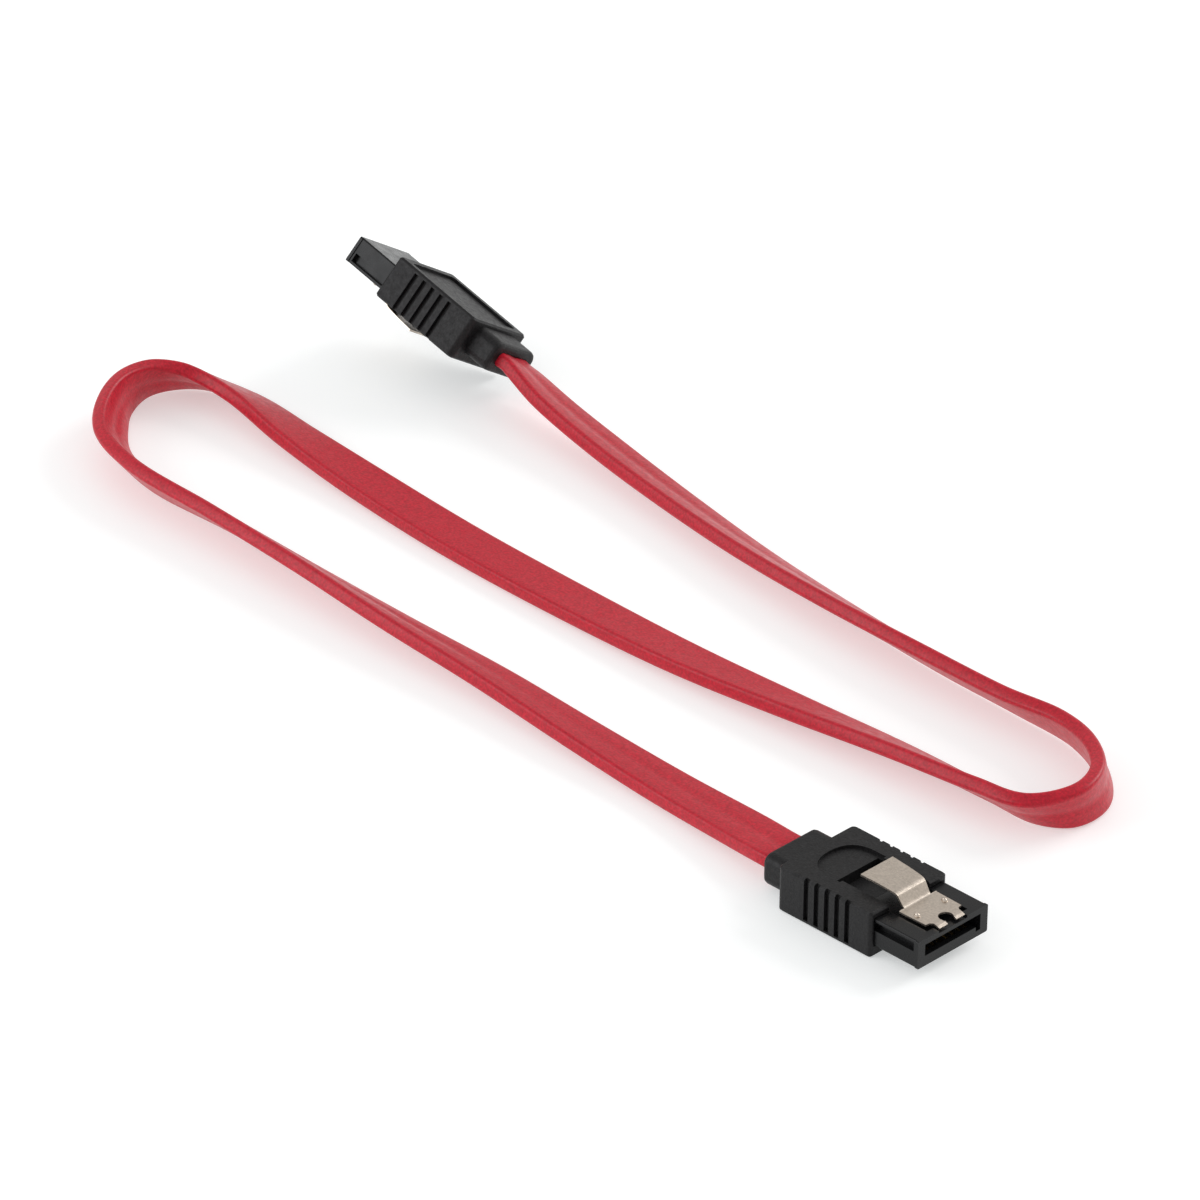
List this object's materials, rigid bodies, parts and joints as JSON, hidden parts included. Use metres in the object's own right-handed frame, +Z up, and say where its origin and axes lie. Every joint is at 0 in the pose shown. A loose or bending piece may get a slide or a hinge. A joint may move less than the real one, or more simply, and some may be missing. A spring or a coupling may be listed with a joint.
{
  "type": "serial ata data cable",
  "caption": "Flat red data cable, looped back on the floor, with a black latching plug at each end; each plug has an L-keyed mouth with contacts and a sprung metal press latch.",
  "frame": {"origin": "on the floor, in the middle of the box that holds the two plugs", "axes": "+X the way the front plug pushes home, +Y towards the rear plug, +Z up"},
  "size_m": [0.1908, 0.0824, 0.0182],
  "materials": {
    "overmold": "fine matte grain, moulded",
    "insulator": "smooth semi-gloss",
    "latch_spring": "bright stamped stainless sheet",
    "contact": "gold flash",
    "signal_wire": "bare copper",
    "drain_wire": "tinned copper",
    "cable_jacket": "satin soft PVC"
  },
  "bodies": {
    "cable_assembly": {"cable_jacket": "cable_jacket", "front_contact_1": "contact", "front_contact_2": "contact", "front_contact_3": "contact", "front_contact_4": "contact", "front_contact_5": "contact", "front_contact_6": "contact", "front_contact_7": "contact", "front_drain_wire_1": "drain_wire", "front_drain_wire_2": "drain_wire", "front_drain_wire_3": "drain_wire", "front_insulator": "insulator", "front_overmold": "overmold", "front_signal_wire_1": "signal_wire", "front_signal_wire_2": "signal_wire", "front_signal_wire_3": "signal_wire", "front_signal_wire_4": "signal_wire", "rear_contact_1": "contact", "rear_contact_2": "contact", "rear_contact_3": "contact", "rear_contact_4": "contact", "rear_contact_5": "contact", "rear_contact_6": "contact", "rear_contact_7": "contact", "rear_drain_wire_1": "drain_wire", "rear_drain_wire_2": "drain_wire", "rear_drain_wire_3": "drain_wire", "rear_insulator": "insulator", "rear_overmold": "overmold", "rear_signal_wire_1": "signal_wire", "rear_signal_wire_2": "signal_wire", "rear_signal_wire_3": "signal_wire", "rear_signal_wire_4": "signal_wire"},
    "front_latch": {"front_latch_spring": "latch_spring"},
    "rear_latch": {"rear_latch_spring": "latch_spring"}
  },
  "joints": [
    {"name": "front_latch_press", "type": "hinge", "parent": "cable_assembly", "child": "front_latch", "pos_m": [0.09041, -0.03369, 0.0063], "axis": [0, -1, 0], "range_deg": [0, 5], "stiffness_Nm_per_rad": 0.4},
    {"name": "rear_latch_press", "type": "hinge", "parent": "cable_assembly", "child": "rear_latch", "pos_m": [-0.08982, 0.03198, 0.01073], "axis": [0.0951, -0.8241, 0.5584], "range_deg": [0, 5], "stiffness_Nm_per_rad": 0.4}
  ]
}
